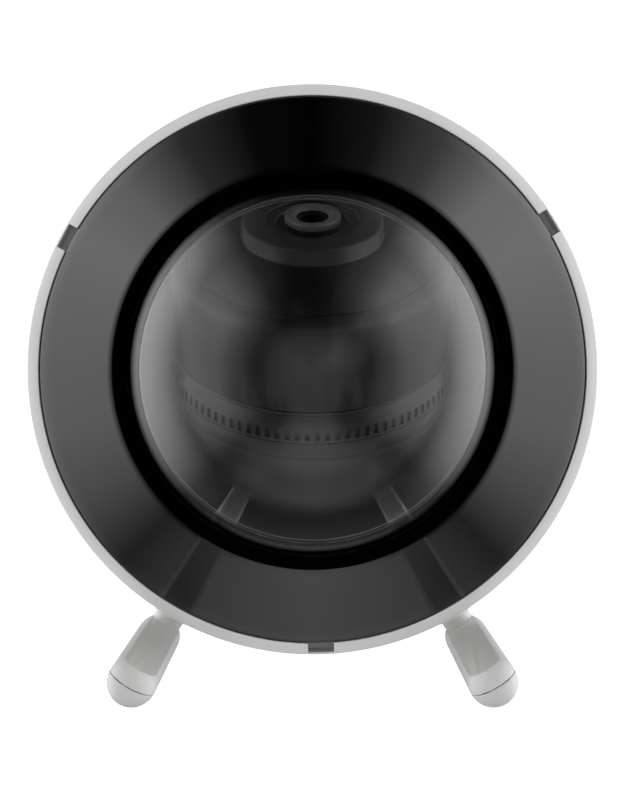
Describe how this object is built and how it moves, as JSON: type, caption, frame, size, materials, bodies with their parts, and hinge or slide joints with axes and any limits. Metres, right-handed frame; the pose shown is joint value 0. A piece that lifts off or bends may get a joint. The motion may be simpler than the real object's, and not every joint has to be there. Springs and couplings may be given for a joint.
{
  "type": "dome security camera",
  "caption": "Round indoor pan and tilt dome camera with a smoked dome, a wide glossy black bezel, a pale housing and swivelling aerials.",
  "frame": {"origin": "centre of the mounting plate's wall side, on the dome's axis", "axes": "+Z along the dome's axis away from the wall or ceiling, +Y towards the side away from the aerials, +X to the right for somebody who faces the dome"},
  "size_m": [0.15, 0.1521, 0.1096],
  "materials": {
    "zinc_steel": "zinc plated steel, matt",
    "white_housing": "fine satin moulded plastic",
    "black_rubber": "matt",
    "screw_steel": "zinc plated",
    "black_bezel": "polished black",
    "smoked_dome": "smoked clear, polished",
    "black_plastic": "fine satin",
    "grey_liner": "satin",
    "green_board": "solder resist",
    "green_terminal": "moulded",
    "bearing_steel": "ground",
    "white_gear": "acetal",
    "bronze_bush": "sintered",
    "black_ball": "gloss black",
    "black_ring": "satin",
    "black_boss": "satin",
    "lens_black": "black anodised",
    "lens_metal": "satin anodised",
    "lens_glass": "coated glass",
    "white_aerial": "fine satin moulded plastic"
  },
  "bodies": {
    "housing": {"mounting_plate": "zinc_steel", "back_housing": "white_housing", "cable_grommet": "black_rubber", "housing_screws": "screw_steel", "bezel_ring": "black_bezel", "dome_bubble": "smoked_dome", "dome_gasket": "black_rubber", "housing_gasket": "black_rubber", "dome_clamp_ring": "black_plastic", "clamp_screws": "screw_steel", "liner_cup": "grey_liner", "post_screws": "screw_steel", "main_board": "green_board", "lan_socket": "zinc_steel", "power_terminal": "green_terminal", "wifi_module": "zinc_steel", "pan_chassis": "black_plastic", "pan_base_screws": "screw_steel", "pan_motor": "zinc_steel", "slip_ring_body": "black_plastic", "bearing_inner_ring": "bearing_steel"},
    "pan_platform": {"turntable": "black_plastic", "ring_gear": "white_gear", "slip_ring_rotor": "black_plastic", "bearing_outer_ring": "bearing_steel", "bearing_balls": "bearing_steel", "tilt_yoke": "black_plastic", "yoke_screws": "screw_steel", "trunnion_bushes": "bronze_bush", "tilt_motor": "zinc_steel"},
    "pan_drive": {"pan_pinion": "white_gear", "pan_motor_shaft": "bearing_steel"},
    "tilt_drive": {"tilt_pinion": "white_gear", "tilt_motor_shaft": "bearing_steel"},
    "tilt_ball": {"tilt_frame": "black_plastic", "trunnion_pins": "bearing_steel", "tilt_gear": "white_gear", "ball_rear_shell": "black_ball", "knurled_ring": "black_ring", "barrel_ring": "black_ball", "ball_front_cover": "black_ball", "side_cover": "black_ball", "lens_boss": "black_boss", "lens_barrel": "lens_black", "lens_ring": "lens_metal", "lens_glass": "lens_glass", "lens_holder": "black_plastic", "sensor_board": "green_board", "image_sensor": "lens_glass", "sensor_screws": "screw_steel"},
    "left_aerial": {"left_aerial_pivot": "white_aerial", "left_pivot_clip": "bearing_steel", "left_aerial_inner_shell": "white_aerial", "left_aerial_outer_shell": "white_aerial", "left_aerial_element": "green_board"},
    "right_aerial": {"right_aerial_pivot": "white_aerial", "right_pivot_clip": "bearing_steel", "right_aerial_inner_shell": "white_aerial", "right_aerial_outer_shell": "white_aerial", "right_aerial_element": "green_board"}
  },
  "joints": [
    {"name": "pan", "type": "hinge", "parent": "housing", "child": "pan_platform", "pos_m": [0, 0, 0.062], "axis": [0, 0, 1], "continuous": true},
    {"name": "pan_drive_spin", "type": "hinge", "parent": "housing", "child": "pan_drive", "pos_m": [-0.04715, 0, 0.02], "axis": [0, 0, 1], "continuous": true},
    {"name": "tilt", "type": "hinge", "parent": "pan_platform", "child": "tilt_ball", "pos_m": [0, 0, 0.062], "axis": [1, 0, 0], "range_deg": [-17, 58]},
    {"name": "tilt_drive_spin", "type": "hinge", "parent": "pan_platform", "child": "tilt_drive", "pos_m": [0.0175, 0, 0.04925], "axis": [1, 0, 0], "range_deg": [-145, 42.5]},
    {"name": "left_aerial_swivel", "type": "hinge", "parent": "housing", "child": "left_aerial", "pos_m": [-0.0412, -0.07136, 0.052], "axis": [-0.5, -0.866, 0], "range_deg": [-60, 90]},
    {"name": "right_aerial_swivel", "type": "hinge", "parent": "housing", "child": "right_aerial", "pos_m": [0.0412, -0.07136, 0.052], "axis": [0.5, -0.866, 0], "range_deg": [-90, 60]}
  ],
  "couplings": [
    {"joint": "pan_drive_spin", "follows": "pan", "ratio": -5.7143},
    {"joint": "tilt_drive_spin", "follows": "tilt", "ratio": -2.5}
  ]
}
